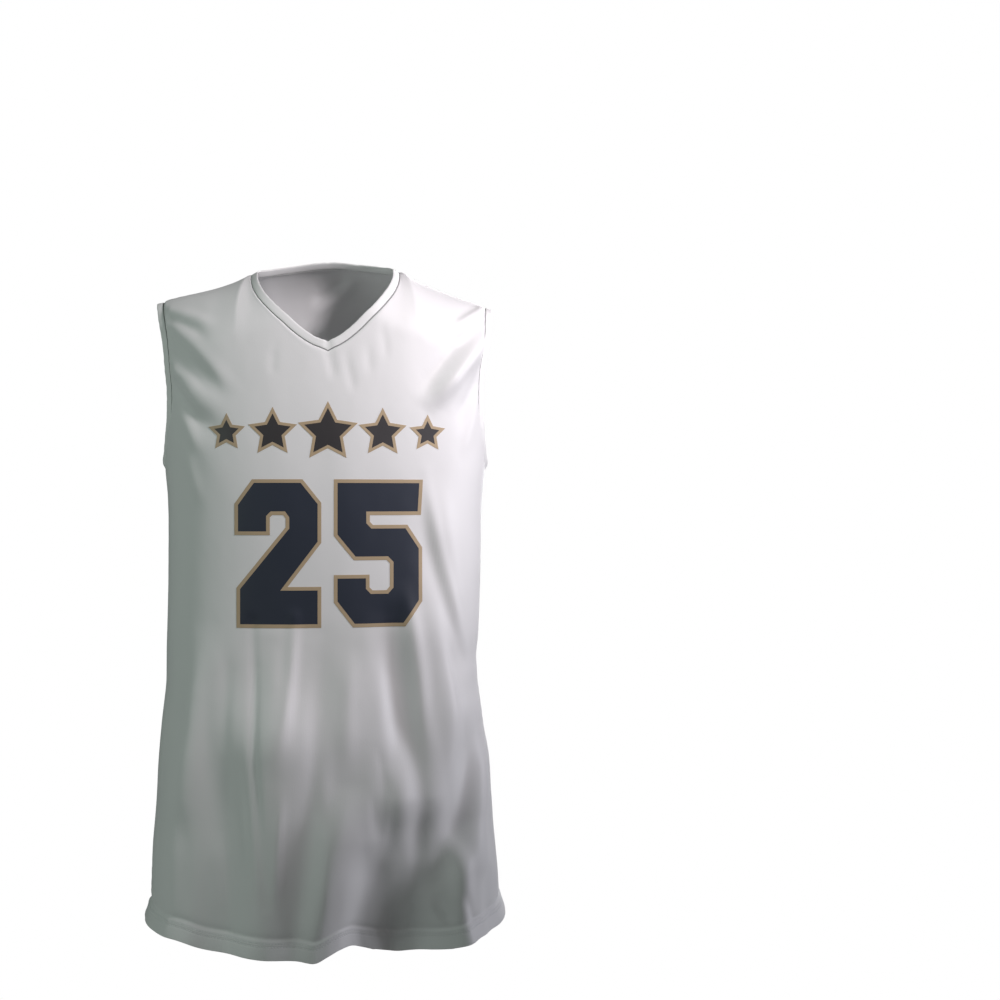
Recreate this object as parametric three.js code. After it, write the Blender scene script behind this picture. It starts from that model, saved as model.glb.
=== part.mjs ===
// Sleeveless V-neck volleyball jersey, hanging open and hollow in the shape it has when worn.
// Millimetres, +Z up, the front faces -Y. The origin lies midway between the shoulder neck points.
import * as THREE from 'three';

// Cloth
const WALL = 1.6;
const HEM_WALL = 2.4;
const HEM_DEPTH = 20;
const HEM_STEP = 1.5;
const SEAM_GAP = 0.3;
const BINDING_GAP = 0.4;

// Heights and widths of the cut
const HEM_Z = -719;
const ARMPIT_Z = -222;
const TIP_Z = -37;
const NECK_HALF_WIDTH = { left: 82, right: 77 };
const NECK_RISE = { left: -8, right: -2 };
const NAPE_RISE = 20;
const NECK_SLOPE = 0.6;
const TIP_SLOPE = 0.3;

// The shoulder is a rounded ridge: this far down, the chest and the back stand upright.
const SHOULDER_ROUND = 80;
const ARC_RADIUS = 92;
const SEAM_ANGLE = 0.14;

// Roundness of the body's sections, and how far the armhole reaches into front and back
const SECTION_POWER = 2.3;
const ARMHOLE_REACH = { front: 0.48, back: 0.5 };
const ARMHOLE_ROUND = 0.42;

// Bindings
const NECK_BINDING_WIDTH = 9;
const ARM_BINDING_WIDTH = 8;
const BINDING_WALL = 2.4;

// Mesh divisions
const NECK_COLUMNS = 9;
const SHOULDER_COLUMNS = 8;
const BODY_ROWS = 20;
const ARMHOLE_ROWS = 17;
const ARMHOLE_ROW_CROWDING = 1.4;
const NECK_CROWDING = 1.4;
const TOP_CROWDING = 5;

// Half widths to the left and right side seam or armhole edge, and depths to front and back
const BODY = [
  { z: -719, left: 191.5, right: 191.5, front: 122, back: 118 },
  { z: -671, left: 190, right: 188, front: 121, back: 117 },
  { z: -627, left: 188, right: 184, front: 119, back: 115 },
  { z: -583, left: 183.5, right: 181.5, front: 116, back: 112 },
  { z: -539, left: 180.5, right: 177, front: 114, back: 108 },
  { z: -495, left: 176.5, right: 171.5, front: 112, back: 104 },
  { z: -451, left: 172, right: 165.5, front: 110, back: 101 },
  { z: -425, left: 171.5, right: 163, front: 109.5, back: 100 },
  { z: -400, left: 171.5, right: 165.5, front: 109, back: 99.5 },
  { z: -341, left: 170.5, right: 168.5, front: 109, back: 99 },
  { z: -275, left: 170.5, right: 169.5, front: 111, back: 101 },
  { z: -222, left: 171.5, right: 171, front: 112, back: 104 },
  { z: -165, left: 165, right: 164, front: 111, back: 106 },
  { z: -120, left: 165, right: 163, front: 108, back: 106 },
  { z: -80, left: 170, right: 168, front: 104, back: 103 },
  { z: -36, left: 176, right: 174, front: 100, back: 98 },
  { z: 30, left: 176, right: 174, front: 100, back: 98 },
];

// How far each neckline rises past the level where the shoulder starts to round, from the centre
// (turn 0) to the shoulder seam (turn 1)
const FRONT_NECKLINE = [
  { turn: 0, rise: -40 },
  { turn: 0.15, rise: -30 },
  { turn: 0.3, rise: -13 },
  { turn: 0.45, rise: 9 },
  { turn: 0.6, rise: 33 },
  { turn: 0.75, rise: 58 },
  { turn: 0.88, rise: 86 },
  { turn: 1, rise: ARC_RADIUS * (Math.PI / 2 - SEAM_ANGLE) },
];
const BACK_NECKLINE = [
  { turn: 0, rise: 98 },
  { turn: 0.3, rise: 102 },
  { turn: 0.6, rise: 118 },
  { turn: 0.85, rise: 138 },
  { turn: 1, rise: ARC_RADIUS * (Math.PI / 2 + SEAM_ANGLE) },
];

// Both hems rise a little towards the side seams, and the front one steps up right of the centre,
// where the cloth swings in. The place is a share of the half width, from the left seam to the right.
const FRONT_HEM_LIFT = [
  { place: -1, lift: 10 },
  { place: -0.7, lift: 12 },
  { place: -0.5, lift: 9 },
  { place: -0.3, lift: 4 },
  { place: -0.1, lift: 0 },
  { place: 0, lift: 0 },
  { place: 0.06, lift: 9 },
  { place: 0.12, lift: 9 },
  { place: 0.3, lift: 2 },
  { place: 0.45, lift: -3 },
  { place: 0.7, lift: 2 },
  { place: 1, lift: 4 },
];
const BACK_HEM_LIFT = [
  { place: -1, lift: 10 },
  { place: -0.7, lift: 4 },
  { place: -0.4, lift: 0 },
  { place: 0.5, lift: 0 },
  { place: 1, lift: 4 },
];

// Largest folds: start, middle and end as [x, z] in front view, half width, and height out of the
// cloth (negative for a trough). start and end say how much of the height is left at each end.
const FRONT_FOLDS = [
  { from: [-166, -84], via: [-136, -116], to: [-96, -158], half: 13, high: -4, start: 0.8, end: 0 },
  { from: [-166, -108], via: [-146, -136], to: [-108, -172], half: 13, high: 3, start: 0.8, end: 0 },
  { from: [-160, -134], via: [-138, -164], to: [-100, -196], half: 13, high: -3, start: 0.8, end: 0 },
  { from: [166, -60], via: [132, -102], to: [98, -152], half: 14, high: -5, start: 0.8, end: 0 },
  { from: [166, -92], via: [146, -118], to: [120, -164], half: 14, high: 3, start: 0.8, end: 0 },
  { from: [112, -224], via: [124, -306], to: [152, -434], half: 14, high: 7, start: 0, end: 0.3 },
  { from: [102, -236], via: [108, -352], to: [148, -460], half: 14, high: -7, start: 0, end: 0.3 },
  { from: [97, -306], via: [126, -420], to: [136, -575], half: 18, high: 8, start: 0, end: 0.2 },
  { from: [78, -380], via: [96, -470], to: [104, -640], half: 22, high: -9, start: 0, end: 0.6 },
  { from: [88, -560], via: [84, -640], to: [74, -730], half: 40, high: -18, start: 0, end: 1 },
  { from: [28, -540], via: [18, -620], to: [0, -730], half: 20, high: 9, start: 0, end: 1 },
  { from: [150, -470], via: [146, -556], to: [116, -650], half: 15, high: -8, start: 0, end: 0.4 },
  { from: [150, -590], via: [158, -650], to: [160, -730], half: 20, high: 9, start: 0, end: 1 },
  { from: [-60, -470], via: [-58, -600], to: [-66, -730], half: 24, high: 6, start: 0, end: 1 },
  { from: [-104, -440], via: [-106, -600], to: [-112, -730], half: 24, high: -7, start: 0, end: 0.8 },
  { from: [-146, -480], via: [-150, -600], to: [-152, -730], half: 22, high: 6, start: 0, end: 0.8 },
];
const BACK_FOLDS = [
  { from: [164, -64], via: [138, -100], to: [90, -150], half: 22, high: -7, start: 0.7, end: 0 },
  { from: [160, -124], via: [134, -166], to: [80, -212], half: 22, high: -5, start: 0.7, end: 0 },
  { from: [-164, -62], via: [-132, -100], to: [-84, -146], half: 22, high: -7, start: 0.7, end: 0 },
  { from: [-160, -118], via: [-136, -162], to: [-90, -210], half: 22, high: -5, start: 0.7, end: 0 },
  { from: [19, -500], via: [20, -590], to: [16, -730], half: 20, high: 7, start: 0, end: 0.6 },
  { from: [-84, -500], via: [-100, -590], to: [-116, -730], half: 20, high: 9, start: 0, end: 0.9 },
  { from: [-116, -560], via: [-134, -630], to: [-146, -730], half: 22, high: -9, start: 0, end: 1 },
  { from: [88, -430], via: [94, -580], to: [100, -730], half: 26, high: -7, start: 0, end: 1 },
  { from: [140, -440], via: [146, -580], to: [150, -730], half: 22, high: 6, start: 0, end: 0.9 },
  { from: [-34, -460], via: [-38, -600], to: [-44, -730], half: 26, high: -6, start: 0, end: 0.9 },
];
const FOLD_STEPS = 24;

// Share of its length over which a fold rises at each end
const FOLD_EASE = 0.38;

// The folds fade out beside the sewn seams, and a firm armhole edge keeps only part of them.
const SEAM_CALM = 18;
const SIDE_LENGTH = 230;
const ARMHOLE_FOLD_SHARE = 0.3;

const FRONT = {
  sign: -1,
  depth: 'front',
  neckline: FRONT_NECKLINE,
  hemLift: FRONT_HEM_LIFT,
  folds: FRONT_FOLDS,
  pastRidge: -1,
};
const BACK = {
  sign: 1,
  depth: 'back',
  neckline: BACK_NECKLINE,
  hemLift: BACK_HEM_LIFT,
  folds: BACK_FOLDS,
  pastRidge: 1,
};

const clamp = THREE.MathUtils.clamp;
const lerp = THREE.MathUtils.lerp;
const smoothstep = THREE.MathUtils.smoothstep;

// Smooth curve between two values with a slope at each
function ease(low, lowSlope, high, highSlope, t) {
  const fall = 1 - t;
  return low * fall * fall * (1 + 2 * t)
    + high * t * t * (1 + 2 * fall)
    + lowSlope * t * fall * fall
    - highSlope * t * t * fall;
}

// Reads a column of a table at a place, as a smooth curve through its rows.
function read(rows, key, value, at) {
  const last = rows.length - 1;
  let row = 0;
  while (row < last - 1 && at > rows[row + 1][key]) {
    row += 1;
  }
  const slope = (i) => {
    const low = rows[Math.max(i - 1, 0)];
    const high = rows[Math.min(i + 1, last)];
    return (high[value] - low[value]) / (high[key] - low[key]);
  };
  const span = rows[row + 1][key] - rows[row][key];
  const t = clamp((at - rows[row][key]) / span, 0, 1);
  return ease(rows[row][value], slope(row) * span, rows[row + 1][value], slope(row + 1) * span, t);
}

// Where a column (u from -1 at the left edge to 1 at the right) meets the top of the cloth
function columnTop(panel, u) {
  const part = Math.abs(u);
  const neckPart = NECK_COLUMNS / (NECK_COLUMNS + SHOULDER_COLUMNS);
  const side = u < 0 ? 'left' : 'right';
  const tip = read(BODY, 'z', side, TIP_Z);
  const neck = NECK_HALF_WIDTH[side];
  if (part < neckPart) {
    const turn = part / neckPart * (NECK_CROWDING - (NECK_CROWDING - 1) * part / neckPart);
    const out = Math.sin(turn * Math.PI / 2);
    const lean = Math.sign(u) * (NECK_RISE.right - NECK_RISE.left) / 2;
    return {
      across: neck * out / tip,
      ridge: ease(NAPE_RISE, lean, NECK_RISE[side], -NECK_SLOPE * neck, out),
      rise: read(panel.neckline, 'turn', 'rise', turn),
    };
  }
  const along = (part - neckPart) / (1 - neckPart);
  const shoulder = tip - neck;
  return {
    across: lerp(neck / tip, 1, along),
    ridge: ease(NECK_RISE[side], -NECK_SLOPE * shoulder, TIP_Z, -TIP_SLOPE * shoulder, along),
    rise: ARC_RADIUS * (Math.PI / 2 + panel.pastRidge * SEAM_ANGLE),
  };
}

// How far the armhole edge stands off the side seam, as a share of the body's depth
function armholeShare(depthSide, z) {
  const high = (z - ARMPIT_Z) / (TIP_Z - ARMPIT_Z);
  if (high <= 0) {
    return 0;
  }
  const t = Math.min(high / ARMHOLE_ROUND, 1);
  return ARMHOLE_REACH[depthSide] * Math.sqrt(t * (2 - t));
}

function hemHeight(panel, u) {
  return HEM_Z + read(panel.hemLift, 'place', 'lift', u);
}

function columnLength(panel, u) {
  const top = columnTop(panel, u);
  return top.ridge - SHOULDER_ROUND - hemHeight(panel, u) + top.rise;
}

// Angle in a section whose width and depth are both 1, for a share of the half width
function angleAt(share) {
  const deep = Math.pow(Math.max(1 - Math.pow(share, SECTION_POWER), 0), 1 / SECTION_POWER);
  return Math.atan2(share, deep);
}

// Point of the smooth body, a given way up a column
function bodyPoint(panel, u, way) {
  const top = columnTop(panel, u);
  const hem = hemHeight(panel, u);
  const upright = top.ridge - SHOULDER_ROUND - hem;
  let z = hem + way;
  let turn = Math.PI / 2;
  if (way > upright) {
    turn = Math.PI / 2 - (way - upright) / ARC_RADIUS;
    z = top.ridge - SHOULDER_ROUND * (1 - Math.cos(turn));
  }
  const half = read(BODY, 'z', u < 0 ? 'left' : 'right', z);
  const depthSide = turn < 0 ? 'front' : panel.depth;
  const depth = read(BODY, 'z', depthSide, z) * Math.sin(turn);
  const share = armholeShare(depthSide, z);
  const edgeWidth = Math.pow(1 - Math.pow(share, SECTION_POWER), 1 / SECTION_POWER);
  const edgeAngle = Math.atan2(edgeWidth, share);
  const topAngle = angleAt(top.across * edgeWidth);
  const nearTop = Math.pow(clamp(way / (upright + top.rise), 0, 1), TOP_CROWDING);
  const angle = lerp(Math.abs(u) * edgeAngle, topAngle, nearTop);
  const sine = Math.sin(angle);
  const cosine = Math.cos(angle);
  const radius = Math.pow(
    Math.pow(sine, SECTION_POWER) + Math.pow(Math.abs(cosine), SECTION_POWER),
    -1 / SECTION_POWER,
  );
  const x = Math.sign(u) * half / edgeWidth * sine * radius;
  return new THREE.Vector3(x, panel.sign * depth * cosine * radius, z);
}

// A fold's crest as a run of places, each with its direction
function foldCrest(fold) {
  const curve = new THREE.QuadraticBezierCurve(
    new THREE.Vector2(...fold.from),
    new THREE.Vector2(...fold.via),
    new THREE.Vector2(...fold.to),
  );
  const steps = [...Array(FOLD_STEPS + 1).keys()].map((i) => i / FOLD_STEPS);
  const places = steps.map((part) => ({ part, at: curve.getPoint(part), lane: curve.getTangent(part) }));
  return { places, length: curve.getLength() };
}

for (const fold of [...FRONT_FOLDS, ...BACK_FOLDS]) {
  fold.crest = foldCrest(fold);
}

// Height of one fold at a place in front view
function foldHeight(fold, x, z) {
  const here = new THREE.Vector2(x, z);
  let near = null;
  let best = Infinity;
  for (const place of fold.crest.places) {
    const away = place.at.distanceToSquared(here);
    if (away < best) {
      best = away;
      near = place;
    }
  }
  const off = here.sub(near.at);
  const aside = Math.abs(off.x * near.lane.y - off.y * near.lane.x);
  const part = near.part + off.dot(near.lane) / fold.crest.length;
  const past = Math.max(-part, part - 1, 0) * fold.crest.length;
  const inside = clamp(part, 0, 1);
  const ends = lerp(fold.start, fold.end, smoothstep(inside, 0, 1));
  const swell = lerp(ends, 1, smoothstep(Math.min(inside, 1 - inside), 0, FOLD_EASE));
  const reach = Math.hypot(aside, past) / fold.half;
  return fold.high * swell * Math.exp(-reach * reach);
}

// Share of the folds that is left beside the seams, so that both pieces still meet there
function foldShare(panel, u, way, z) {
  const toSide = (1 - Math.abs(u)) * SIDE_LENGTH;
  const atShoulder = Math.abs(u) * (NECK_COLUMNS + SHOULDER_COLUMNS) > NECK_COLUMNS;
  const shoulder = atShoulder ? smoothstep(columnLength(panel, u) - way, 0, SEAM_CALM) : 1;
  const firm = ARMHOLE_FOLD_SHARE * smoothstep(z, ARMPIT_Z, ARMPIT_Z + SEAM_CALM);
  return shoulder * lerp(firm, 1, smoothstep(toSide, 0, SEAM_CALM));
}

// Point of the folded cloth, with the direction out of it
function clothPoint(panel, u, way) {
  const point = bodyPoint(panel, u, way);
  const next = bodyPoint(panel, u, way + 0.1).sub(point);
  const step = u > 0 ? -0.0005 : 0.0005;
  const side = bodyPoint(panel, u + step, way).sub(point);
  const out = side.cross(next).normalize();
  if (out.dot(new THREE.Vector3(point.x, point.y, 20)) < 0) {
    out.negate();
  }
  let high = 0;
  for (const fold of panel.folds) {
    high += foldHeight(fold, point.x, point.z);
  }
  return { point: point.addScaledVector(out, high * foldShare(panel, u, way, point.z)), out };
}

// Ways up each column at which the rows of the grid lie
function rowWay(panel, u, row) {
  if (row < 3) {
    return [0, HEM_DEPTH, HEM_DEPTH + HEM_STEP][row];
  }
  const low = HEM_DEPTH + HEM_STEP;
  const side = u < 0 ? -1 : 1;
  const armpit = (ARMPIT_Z - hemHeight(panel, side) - low) / (columnLength(panel, side) - low);
  const bodyRow = row - 2;
  const part = bodyRow <= BODY_ROWS
    ? armpit * bodyRow / BODY_ROWS
    : lerp(armpit, 1, Math.pow((bodyRow - BODY_ROWS) / ARMHOLE_ROWS, ARMHOLE_ROW_CROWDING));
  return lerp(low, columnLength(panel, u) - SEAM_GAP / 2, part);
}

const COLUMNS = 2 * (NECK_COLUMNS + SHOULDER_COLUMNS);
const ROWS = 2 + BODY_ROWS + ARMHOLE_ROWS;
const ARMPIT_ROW = 2 + BODY_ROWS;

// Grid of a panel: rows of { point, out }, from the hem up
function panelGrid(panel) {
  const grid = [];
  for (let row = 0; row <= ROWS; row += 1) {
    const line = [];
    for (let column = 0; column <= COLUMNS; column += 1) {
      const u = 2 * column / COLUMNS - 1;
      const station = clothPoint(panel, u, rowWay(panel, u, row));
      const atSide = column === 0 || column === COLUMNS;
      if (atSide && row <= ARMPIT_ROW) {
        station.point.y = panel.sign * SEAM_GAP / 2;
        station.out.setY(0).normalize();
      }
      station.wall = row < 2 ? HEM_WALL : WALL;
      line.push(station);
    }
    grid.push(line);
  }
  return grid;
}

// Six times the signed volume inside a set of triangles: below zero when they face inwards
function signedVolume(vertices, triangles) {
  const corner = (i) => new THREE.Vector3().fromArray(vertices, 3 * triangles[i]);
  let sum = 0;
  for (let i = 0; i < triangles.length; i += 3) {
    sum += corner(i).dot(corner(i + 1).cross(corner(i + 2)));
  }
  return sum;
}

function meshOf(name, vertices, triangles, material) {
  if (signedVolume(vertices, triangles) < 0) {
    triangles.reverse();
  }
  const geometry = new THREE.BufferGeometry();
  geometry.setAttribute('position', new THREE.Float32BufferAttribute(vertices, 3));
  geometry.setIndex(triangles);
  geometry.computeVertexNormals();
  const mesh = new THREE.Mesh(geometry, material);
  mesh.name = name;
  return mesh;
}

// Closed wall between the outside and the inside of a grid. Its quads are halved the same way on
// both sides of the wall, and the other way round on the right half.
function panelMesh(name, panel, grid, material) {
  const vertices = [];
  const layer = (ROWS + 1) * (COLUMNS + 1);
  for (const side of [0.5, -0.5]) {
    for (const line of grid) {
      for (const { point, out, wall } of line) {
        vertices.push(...point.clone().addScaledVector(out, side * wall).toArray());
      }
    }
  }
  const triangles = [];
  const quad = (a, b, c, d) => triangles.push(a, b, c, a, c, d);
  const at = (row, column) => row * (COLUMNS + 1) + column;
  for (let row = 0; row < ROWS; row += 1) {
    for (let column = 0; column < COLUMNS; column += 1) {
      const corners = [at(row, column), at(row, column + 1), at(row + 1, column + 1), at(row + 1, column)];
      if (column >= COLUMNS / 2) {
        corners.push(corners.shift());
      }
      const [a, b, c, d] = corners;
      quad(a, b, c, d);
      quad(layer + a, layer + d, layer + c, layer + b);
    }
  }
  for (let column = 0; column < COLUMNS; column += 1) {
    const low = at(0, column);
    const high = at(ROWS, column);
    quad(layer + low, layer + low + 1, low + 1, low);
    quad(high, high + 1, layer + high + 1, layer + high);
  }
  for (let row = 0; row < ROWS; row += 1) {
    const left = at(row, 0);
    const leftUp = at(row + 1, 0);
    const right = at(row, COLUMNS);
    const rightUp = at(row + 1, COLUMNS);
    quad(layer + left, left, leftUp, layer + leftUp);
    quad(right, layer + right, layer + rightUp, rightUp);
  }
  return meshOf(name, vertices, triangles, material);
}

// Section of a folded binding: share of its width, share of its half thickness
const BINDING_SECTION = [
  { across: 0, up: -0.6 },
  { across: 0, up: 0.6 },
  { across: 0.25, up: 1 },
  { across: 0.8, up: 1 },
  { across: 1, up: 0.5 },
  { across: 1, up: -0.5 },
  { across: 0.8, up: -1 },
  { across: 0.25, up: -1 },
];

// Closed ring of binding along the cloth's edge. away gives the way the strip lies off the edge.
function bindingMesh(name, edge, width, away, material) {
  const vertices = [];
  const count = edge.length;
  edge.forEach((station, i) => {
    const before = edge[(i + count - 1) % count].point;
    const after = edge[(i + 1) % count].point;
    const strip = away(station, after.clone().sub(before).normalize());
    const up = station.out.clone().addScaledVector(strip.way, -station.out.dot(strip.way)).normalize();
    for (const { across, up: share } of BINDING_SECTION) {
      const off = (BINDING_GAP + across * width) * strip.stretch;
      const spot = station.point.clone().addScaledVector(strip.way, off);
      spot.addScaledVector(across === 0 ? station.out : up, share * BINDING_WALL / 2);
      vertices.push(...spot.toArray());
    }
  });
  const sides = BINDING_SECTION.length;
  const triangles = [];
  for (let i = 0; i < count; i += 1) {
    for (let k = 0; k < sides; k += 1) {
      const a = i * sides + k;
      const b = i * sides + (k + 1) % sides;
      const c = ((i + 1) % count) * sides + (k + 1) % sides;
      const d = ((i + 1) % count) * sides + k;
      triangles.push(a, b, c, a, c, d);
    }
  }
  return meshOf(name, vertices, triangles, material);
}

const neckColumns = (first, last) => {
  const list = [];
  const step = Math.sign(last - first);
  for (let column = first; column !== last; column += step) {
    list.push(column);
  }
  return list;
};

// Edge of the cloth round the neck, from the left shoulder seam along the front and back again
function neckEdge(frontGrid, backGrid) {
  const left = SHOULDER_COLUMNS;
  const right = COLUMNS - SHOULDER_COLUMNS;
  const front = neckColumns(left, right + 1).map((column) => frontGrid[ROWS][column]);
  const back = neckColumns(right, left - 1).map((column) => backGrid[ROWS][column]);
  return [...front, ...back];
}

// Edge of the cloth round an armhole, up the front and down the back
function armholeEdge(frontGrid, backGrid, column) {
  const up = frontGrid.slice(ARMPIT_ROW).map((line) => line[column]);
  const down = backGrid.slice(ARMPIT_ROW).map((line) => line[column]).reverse();
  return [...up, ...down];
}

const satin = (color) => new THREE.MeshStandardMaterial({
  color,
  roughness: 0.55,
  metalness: 0,
  side: THREE.DoubleSide,
});

const front = panelGrid(FRONT);
const back = panelGrid(BACK);

// The neck binding leans up off the cloth, and its strips are mitred at the point of the V.
const UP = new THREE.Vector3(0, 0, 1);
const NECK_LEAN = 0.5;
const vPoint = front[ROWS][COLUMNS / 2];
function neckAway(station, lane) {
  const flat = lane.clone().cross(station.out).normalize();
  const inward = new THREE.Vector3(-station.point.x, -30 - station.point.y, 20);
  if (flat.dot(inward) < 0) {
    flat.negate();
  }
  if (station === vPoint) {
    return { way: UP.clone().addScaledVector(station.out, -UP.dot(station.out)).normalize(), stretch: 1.15 };
  }
  const lean = NECK_LEAN * smoothstep(station.point.z, -70, -10);
  return { way: flat.addScaledVector(UP, lean).normalize(), stretch: 1 };
}

// The armhole bindings stand a little out from the body.
const SPREAD = 0.45;
function armholeAway(station, lane) {
  const flat = lane.clone().cross(station.out).normalize();
  const centre = new THREE.Vector3(Math.sign(station.point.x) * 230, 0, (ARMPIT_Z + TIP_Z) / 2);
  if (flat.dot(centre.sub(station.point)) < 0) {
    flat.negate();
  }
  const out = new THREE.Vector3(Math.sign(station.point.x) * SPREAD, 0, 0);
  return { way: flat.add(out).normalize(), stretch: 1 };
}

const group = new THREE.Group();
group.add(panelMesh('front_panel', FRONT, front, satin(0xeef0f2)));
group.add(panelMesh('back_panel', BACK, back, satin(0xeef0f2)));
group.add(bindingMesh('neck_binding', neckEdge(front, back), NECK_BINDING_WIDTH, neckAway, satin(0xf4f5f6)));
group.add(bindingMesh('armhole_binding_left', armholeEdge(front, back, 0), ARM_BINDING_WIDTH, armholeAway,
  satin(0xf4f5f6)));
group.add(bindingMesh('armhole_binding_right', armholeEdge(front, back, COLUMNS), ARM_BINDING_WIDTH,
  armholeAway, satin(0xf4f5f6)));

export default group;
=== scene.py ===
"""Looks of a sleeveless V-neck volleyball jersey, hollow and filled out as when it is worn.

The cloth follows the formulas of the CAD solids, in millimetres, on a much finer mesh. Only its hem
line has a table of its own. It then gets small creases, sewing, prints and fabric. The front faces -Y.
"""
import math
from itertools import zip_longest
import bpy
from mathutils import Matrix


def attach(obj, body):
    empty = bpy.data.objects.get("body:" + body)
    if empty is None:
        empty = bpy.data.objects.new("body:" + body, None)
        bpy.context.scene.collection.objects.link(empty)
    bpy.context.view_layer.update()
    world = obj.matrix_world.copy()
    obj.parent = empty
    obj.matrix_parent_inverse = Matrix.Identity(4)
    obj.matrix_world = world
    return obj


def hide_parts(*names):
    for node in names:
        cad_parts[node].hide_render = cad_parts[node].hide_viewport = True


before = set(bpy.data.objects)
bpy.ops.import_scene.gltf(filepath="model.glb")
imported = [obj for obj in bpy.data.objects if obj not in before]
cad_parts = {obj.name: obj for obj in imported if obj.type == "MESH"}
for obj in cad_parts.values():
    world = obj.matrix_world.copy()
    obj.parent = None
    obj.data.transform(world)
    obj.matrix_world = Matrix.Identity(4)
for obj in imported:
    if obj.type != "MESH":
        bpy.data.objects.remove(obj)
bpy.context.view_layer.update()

from types import SimpleNamespace

import bpy
import numpy as np
from mathutils import Vector
from mathutils.bvhtree import BVHTree
from mathutils.geometry import delaunay_2d_cdt

MM = 0.001
scene = bpy.context.scene

# -------- camera

CAMERA_AWAY = 1.505
CAMERA_HIGH = -0.253
CAMERA_TURN = math.radians(7.25)
CAMERA_LENS = 48.7
CAMERA_SENSOR = 36

camera_data = bpy.data.cameras.new("camera")
camera_data.lens = CAMERA_LENS
camera_data.sensor_width = CAMERA_SENSOR
camera = bpy.data.objects.new("camera", camera_data)
camera.location = (0, -CAMERA_AWAY, CAMERA_HIGH)
camera.rotation_euler = (math.pi / 2, 0, -CAMERA_TURN)
scene.collection.objects.link(camera)
scene.camera = camera

# -------- sizes, in millimetres

HEM_Z = -719
ARMPIT_Z = -222
TIP_Z = -37
NECK_HALF_WIDTH = {"left": 82, "right": 77}
NECK_RISE = {"left": -8, "right": -2}
NAPE_RISE = 20
NECK_SLOPE = 0.6
TIP_SLOPE = 0.3

SHOULDER_ROUND = 80
ARC_RADIUS = 92
SEAM_ANGLE = 0.14

SECTION_POWER = 2.3
ARMHOLE_REACH = {"front": 0.48, "back": 0.5}
ARMHOLE_ROUND = 0.42
ARMHOLE_SOFTENING = range(-30, 31, 6)

NECK_SHARE = 9 / 17
EDGE_CROWDING = 12
EDGE_SPREAD = 80
NECK_CROWDING = 1.4
TOP_CROWDING = 5
SIDE_LENGTH = 230

# How near a seam the folds die away
SEAM_CALM = 18
ARMHOLE_CALM = 14
NECK_CALM = 0.12
ARMHOLE_FOLD_SHARE = 0.3

# A fold's number of straight steps, how far it reaches in half widths, and how much of its run eases
FOLD_STEPS = 48
FOLD_REACH = 3
FOLD_EASE = 0.38


def rows(names, *lines):
    """A dictionary of columns, from a tuple for each row. A row may leave out zeros at its end."""
    columns = zip_longest(*lines, fillvalue=0)
    return {name: np.array(column, float) for name, column in zip(names.split(), columns)}


# Half width to the left and right, and depth to the front and back, at heights of the body
BODY = rows(
    "z left right front back",
    (-719, 191.5, 191.5, 122, 118), (-671, 190, 188, 121, 117), (-627, 188, 184, 119, 115),
    (-583, 183.5, 181.5, 116, 112), (-539, 180.5, 177, 114, 108), (-495, 176.5, 171.5, 112, 104),
    (-451, 172, 165.5, 110, 101), (-425, 171.5, 163, 109.5, 100), (-400, 171.5, 165.5, 109, 99.5),
    (-341, 170.5, 168.5, 109, 99), (-275, 170.5, 169.5, 111, 101), (-222, 171.5, 171, 112, 104),
    (-165, 165, 164, 111, 106), (-120, 165, 163, 108, 106), (-80, 170, 168, 104, 103),
    (-36, 176, 174, 100, 98), (30, 176, 174, 100, 98),
)
FRONT_NECKLINE = rows(
    "turn rise",
    (0, -40), (0.15, -30), (0.3, -13), (0.45, 9), (0.6, 33), (0.75, 58), (0.88, 86),
    (1, ARC_RADIUS * (math.pi / 2 - SEAM_ANGLE)),
)
BACK_NECKLINE = rows(
    "turn rise",
    (0, 98), (0.3, 102), (0.6, 118), (0.85, 138),
    (1, ARC_RADIUS * (math.pi / 2 + SEAM_ANGLE)),
)

# The hem is up to 8 mm off the line of the CAD solids, as the finer creases lean it in and out
FRONT_HEM_LIFT = rows(
    "place lift",
    (-1, 17), (-0.57, 17), (-0.5, 15), (-0.42, 9), (-0.3, 6), (-0.1, 2), (-0.04, 0), (0, 5),
    (0.04, 9), (0.08, 9), (0.12, 4), (0.24, -6), (0.3, -5), (0.42, -1), (0.5, 4), (0.57, 6), (1, 11),
)
BACK_HEM_LIFT = rows("place lift", (-1, 17), (-0.7, 6), (-0.4, 0), (0.5, 0), (1, 11))

# Folds: start, middle and end in front view, half width, height (negative for a trough), and how
# much of the height is left at the start and at the end
FOLD_COLUMNS = "x1 z1 x2 z2 x3 z3 half high start end"

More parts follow.
